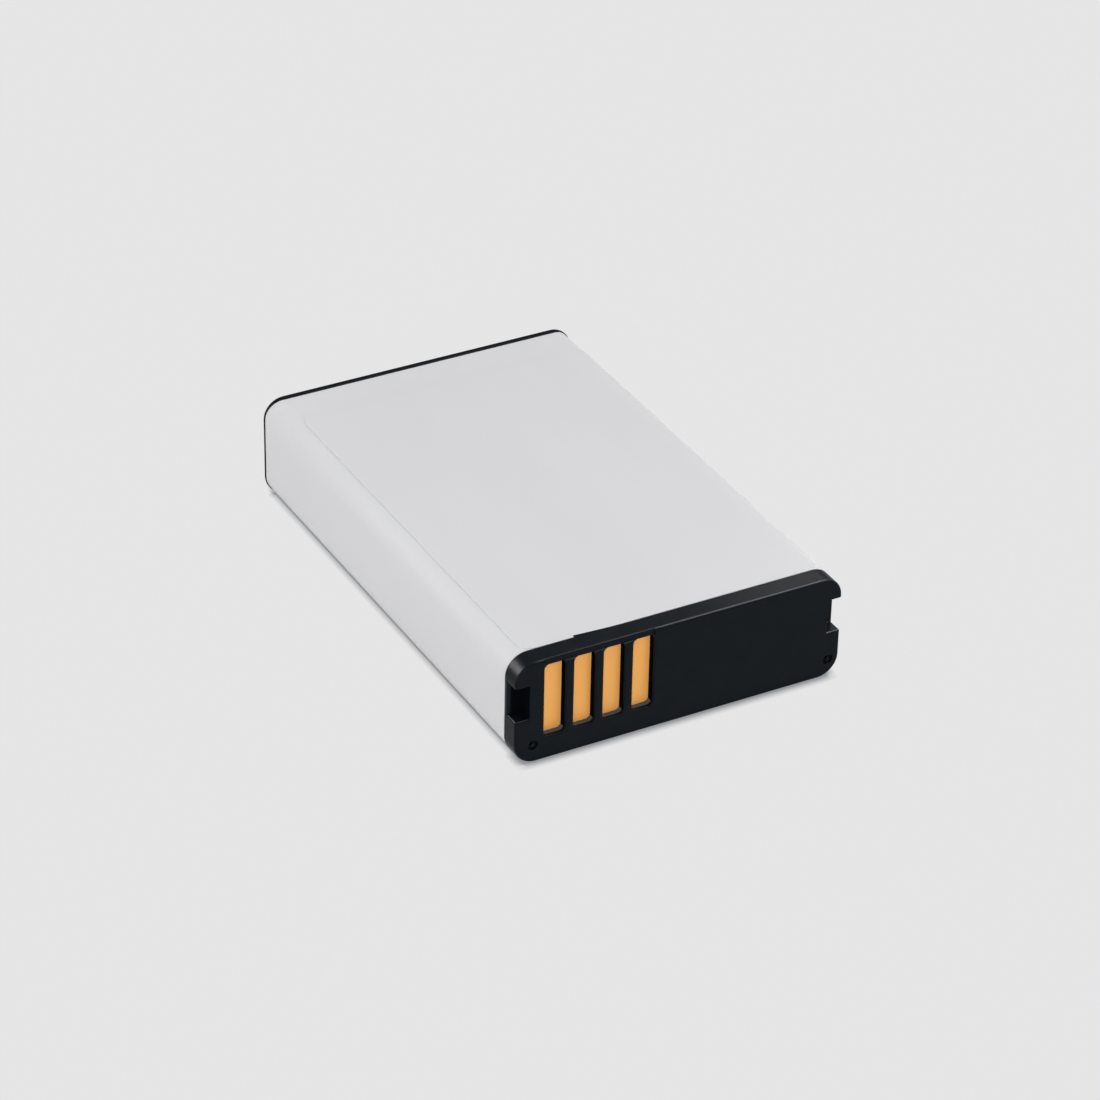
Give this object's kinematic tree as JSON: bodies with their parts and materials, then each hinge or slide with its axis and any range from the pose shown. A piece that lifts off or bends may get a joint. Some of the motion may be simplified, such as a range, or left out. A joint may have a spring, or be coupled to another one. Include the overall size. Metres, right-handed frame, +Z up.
{
  "type": "gps device battery",
  "caption": "Flat rechargeable battery pack with a white wrapped body, black end caps, side latch notches and gold contact pads in windows at one end.",
  "frame": {"origin": "centre of the underside", "axes": "+X across the width, toward the end without contacts; +Y along the length, from the contact face to the rear face; +Z up through the thickness, toward the face that the contact windows come closest to"},
  "size_m": [0.0356, 0.0552, 0.0112],
  "materials": {
    "cap_black": "satin moulded",
    "film_white": "satin film",
    "label_white": "satin film",
    "gold": "gold plated",
    "can": "drawn, satin",
    "nickel": "nickel strip",
    "gasket": "moulded",
    "card": "insulating card",
    "board": "green solder mask",
    "chip_black": "moulded",
    "capacitor": "fired",
    "resistor": "fired",
    "thermistor": "fired",
    "fuse": "coated",
    "tape": "double-sided tape"
  },
  "bodies": {
    "root": {"front_cap": "cap_black", "rear_cap": "cap_black", "wrap_film": "film_white", "wrap_label": "label_white", "rear_tape": "tape", "cell_can": "can", "terminal_gasket": "gasket", "terminal_rivet": "nickel", "fill_plug": "can", "lid_insulator": "card", "positive_tab": "nickel", "fuse_lead": "nickel", "thermal_fuse": "fuse", "negative_lead": "nickel", "circuit_board": "board", "contact_pad_1": "gold", "contact_pad_2": "gold", "contact_pad_3": "gold", "contact_pad_4": "gold", "protection_chip": "chip_black", "switch_chip": "chip_black", "filter_capacitor": "capacitor", "sense_resistor": "resistor", "identity_resistor": "resistor", "thermistor": "thermistor", "board_spacer": "cap_black"}
  },
  "joints": []
}
